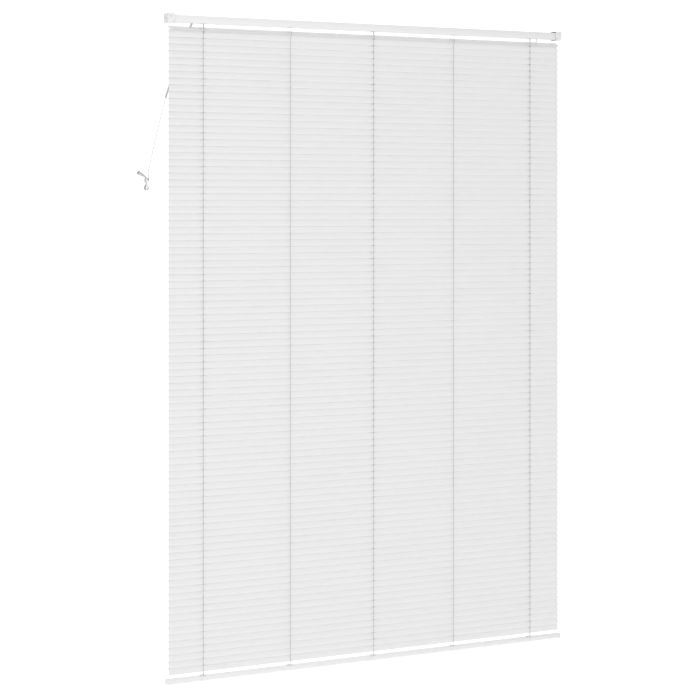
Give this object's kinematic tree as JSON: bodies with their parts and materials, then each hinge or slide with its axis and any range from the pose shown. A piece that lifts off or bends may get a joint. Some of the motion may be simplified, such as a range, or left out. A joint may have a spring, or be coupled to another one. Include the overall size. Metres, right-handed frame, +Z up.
{
  "type": "venetian blind",
  "caption": "Metal venetian blind with narrow closed slats on string ladders, a channel head rail in box brackets, a tilt wand, and a pull cord with a joiner, wound on a wall cleat.",
  "frame": {"origin": "middle of the blind, at the height of the two brackets' top faces and half way through the head rail's depth", "axes": "+Z up, X along the slats with the tilt wand at +X and the pull cord at -X, -Y towards the window and +Y towards the room"},
  "size_m": [1.712, 0.044, 2.2055],
  "materials": {
    "slat": "smooth satin white enamel on thin aluminium strip",
    "enamel": "satin white enamel on folded steel",
    "zinc": "plain zinc-plated steel",
    "white_plastic": "smooth white moulded plastic",
    "clear_plastic": "clear moulded plastic rod",
    "grey_plastic": "smooth light grey moulded plastic",
    "cord": "thin braided white polyester cord"
  },
  "bodies": {
    "frame": {"head_rail": "enamel", "bracket_left": "enamel", "bracket_right": "enamel", "tilter_housing": "white_plastic", "cord_lock": "white_plastic", "lift_cord_1": "cord", "lift_cord_2": "cord", "lift_cord_3": "cord", "cord_joiner_upper": "grey_plastic", "cord_joiner_lower": "grey_plastic", "pull_cord": "cord", "cord_winding": "cord", "cord_cleat": "white_plastic", "cord_tassel": "grey_plastic", "bottom_rail": "enamel", "bottom_rail_cap_left": "white_plastic", "bottom_rail_cap_right": "white_plastic", "ladder_plug_1": "white_plastic", "ladder_plug_2": "white_plastic", "ladder_plug_3": "white_plastic", "ladder_plug_4": "white_plastic", "ladder_plug_5": "white_plastic"},
    "gate_left": {"bracket_gate_left": "enamel"},
    "gate_right": {"bracket_gate_right": "enamel"},
    "tilt_rod": {"tilt_rod": "zinc", "tilter_gear": "white_plastic", "ladder_drum_1": "white_plastic", "ladder_drum_2": "white_plastic", "ladder_drum_3": "white_plastic", "ladder_drum_4": "white_plastic", "ladder_drum_5": "white_plastic"},
    "tilter_stem": {"tilter_stem": "white_plastic"},
    "tilt_wand": {"tilt_wand": "clear_plastic"},
    "cord_lock_pawl": {"cord_lock_pawl": "zinc"},
    "room_strings": {"room_string_1": "cord", "room_string_2": "cord", "room_string_3": "cord", "room_string_4": "cord", "room_string_5": "cord"},
    "window_strings": {"window_string_1": "cord", "window_string_2": "cord", "window_string_3": "cord", "window_string_4": "cord", "window_string_5": "cord"},
    "slat_03": {"slat_03": "slat"},
    "slat_09": {"slat_09": "slat"},
    "slat_15": {"slat_15": "slat"},
    "slat_21": {"slat_21": "slat"},
    "slat_27": {"slat_27": "slat"},
    "slat_33": {"slat_33": "slat"},
    "slat_39": {"slat_39": "slat"},
    "slat_45": {"slat_45": "slat"},
    "slat_51": {"slat_51": "slat"},
    "slat_57": {"slat_57": "slat"},
    "slat_63": {"slat_63": "slat"},
    "slat_69": {"slat_69": "slat"},
    "slat_75": {"slat_75": "slat"},
    "slat_81": {"slat_81": "slat"},
    "slat_87": {"slat_87": "slat"},
    "slat_93": {"slat_93": "slat"}
  },
  "joints": [
    {"name": "tilt", "type": "slide", "parent": "frame", "child": "room_strings", "axis": [0, 0.5736, -0.8192], "range_m": [0, 0.0181]},
    {"name": "rod_turn", "type": "hinge", "parent": "frame", "child": "tilt_rod", "pos_m": [0, 0, -0.017], "axis": [-1, 0, 0], "range_deg": [0, 70.1]},
    {"name": "slat_03_tilt", "type": "hinge", "parent": "frame", "child": "slat_03", "pos_m": [0, 0, -0.08738], "axis": [-1, 0, 0], "range_deg": [0, 70.1]},
    {"name": "slat_09_tilt", "type": "hinge", "parent": "frame", "child": "slat_09", "pos_m": [0, 0, -0.22127], "axis": [-1, 0, 0], "range_deg": [0, 70.1]},
    {"name": "slat_15_tilt", "type": "hinge", "parent": "frame", "child": "slat_15", "pos_m": [0, 0, -0.35516], "axis": [-1, 0, 0], "range_deg": [0, 70.1]},
    {"name": "slat_21_tilt", "type": "hinge", "parent": "frame", "child": "slat_21", "pos_m": [0, 0, -0.48905], "axis": [-1, 0, 0], "range_deg": [0, 70.1]},
    {"name": "slat_27_tilt", "type": "hinge", "parent": "frame", "child": "slat_27", "pos_m": [0, 0, -0.62294], "axis": [-1, 0, 0], "range_deg": [0, 70.1]},
    {"name": "slat_33_tilt", "type": "hinge", "parent": "frame", "child": "slat_33", "pos_m": [0, 0, -0.75683], "axis": [-1, 0, 0], "range_deg": [0, 70.1]},
    {"name": "slat_39_tilt", "type": "hinge", "parent": "frame", "child": "slat_39", "pos_m": [0, 0, -0.89072], "axis": [-1, 0, 0], "range_deg": [0, 70.1]},
    {"name": "slat_45_tilt", "type": "hinge", "parent": "frame", "child": "slat_45", "pos_m": [0, 0, -1.02461], "axis": [-1, 0, 0], "range_deg": [0, 70.1]},
    {"name": "slat_51_tilt", "type": "hinge", "parent": "frame", "child": "slat_51", "pos_m": [0, 0, -1.1585], "axis": [-1, 0, 0], "range_deg": [0, 70.1]},
    {"name": "slat_57_tilt", "type": "hinge", "parent": "frame", "child": "slat_57", "pos_m": [0, 0, -1.29239], "axis": [-1, 0, 0], "range_deg": [0, 70.1]},
    {"name": "slat_63_tilt", "type": "hinge", "parent": "frame", "child": "slat_63", "pos_m": [0, 0, -1.42628], "axis": [-1, 0, 0], "range_deg": [0, 70.1]},
    {"name": "slat_69_tilt", "type": "hinge", "parent": "frame", "child": "slat_69", "pos_m": [0, 0, -1.56017], "axis": [-1, 0, 0], "range_deg": [0, 70.1]},
    {"name": "slat_75_tilt", "type": "hinge", "parent": "frame", "child": "slat_75", "pos_m": [0, 0, -1.69406], "axis": [-1, 0, 0], "range_deg": [0, 70.1]},
    {"name": "slat_81_tilt", "type": "hinge", "parent": "frame", "child": "slat_81", "pos_m": [0, 0, -1.82795], "axis": [-1, 0, 0], "range_deg": [0, 70.1]},
    {"name": "slat_87_tilt", "type": "hinge", "parent": "frame", "child": "slat_87", "pos_m": [0, 0, -1.96184], "axis": [-1, 0, 0], "range_deg": [0, 70.1]},
    {"name": "slat_93_tilt", "type": "hinge", "parent": "frame", "child": "slat_93", "pos_m": [0, 0, -2.09573], "axis": [-1, 0, 0], "range_deg": [0, 70.1]},
    {"name": "stem_turn", "type": "hinge", "parent": "frame", "child": "tilter_stem", "pos_m": [0.718, 0.0077, -0.01341], "axis": [0, 0.4226, -0.9063], "range_deg": [0, 1402]},
    {"name": "wand_turn", "type": "hinge", "parent": "frame", "child": "tilt_wand", "pos_m": [0.718, 0.023, -0.046], "axis": [0, 0, -1], "range_deg": [0, 1402]},
    {"name": "window_strings_slide", "type": "slide", "parent": "room_strings", "child": "window_strings", "axis": [0, -0.5736, 0.8192], "range_m": [0, 0.03729]},
    {"name": "gate_left_hinge", "type": "hinge", "parent": "frame", "child": "gate_left", "pos_m": [-0.807, 0.0169, -0.0165], "axis": [0, 0, 1], "range_deg": [0, 100]},
    {"name": "gate_right_hinge", "type": "hinge", "parent": "frame", "child": "gate_right", "pos_m": [0.807, 0.0169, -0.0165], "axis": [0, 0, -1], "range_deg": [0, 100]},
    {"name": "lock_pawl", "type": "hinge", "parent": "frame", "child": "cord_lock_pawl", "pos_m": [-0.706, 0, -0.012], "axis": [1, 0, 0], "range_deg": [0, 25]}
  ],
  "couplings": [
    {"joint": "rod_turn", "follows": "tilt", "rad_per_m": 67.49},
    {"joint": "slat_03_tilt", "follows": "tilt", "rad_per_m": 67.49},
    {"joint": "slat_09_tilt", "follows": "tilt", "rad_per_m": 67.49},
    {"joint": "slat_15_tilt", "follows": "tilt", "rad_per_m": 67.49},
    {"joint": "slat_21_tilt", "follows": "tilt", "rad_per_m": 67.49},
    {"joint": "slat_27_tilt", "follows": "tilt", "rad_per_m": 67.49},
    {"joint": "slat_33_tilt", "follows": "tilt", "rad_per_m": 67.49},
    {"joint": "slat_39_tilt", "follows": "tilt", "rad_per_m": 67.49},
    {"joint": "slat_45_tilt", "follows": "tilt", "rad_per_m": 67.49},
    {"joint": "slat_51_tilt", "follows": "tilt", "rad_per_m": 67.49},
    {"joint": "slat_57_tilt", "follows": "tilt", "rad_per_m": 67.49},
    {"joint": "slat_63_tilt", "follows": "tilt", "rad_per_m": 67.49},
    {"joint": "slat_69_tilt", "follows": "tilt", "rad_per_m": 67.49},
    {"joint": "slat_75_tilt", "follows": "tilt", "rad_per_m": 67.49},
    {"joint": "slat_81_tilt", "follows": "tilt", "rad_per_m": 67.49},
    {"joint": "slat_87_tilt", "follows": "tilt", "rad_per_m": 67.49},
    {"joint": "slat_93_tilt", "follows": "tilt", "rad_per_m": 67.49},
    {"joint": "stem_turn", "follows": "tilt", "rad_per_m": 1349.8},
    {"joint": "wand_turn", "follows": "tilt", "rad_per_m": 1349.8},
    {"joint": "window_strings_slide", "follows": "tilt", "ratio": 2}
  ]
}
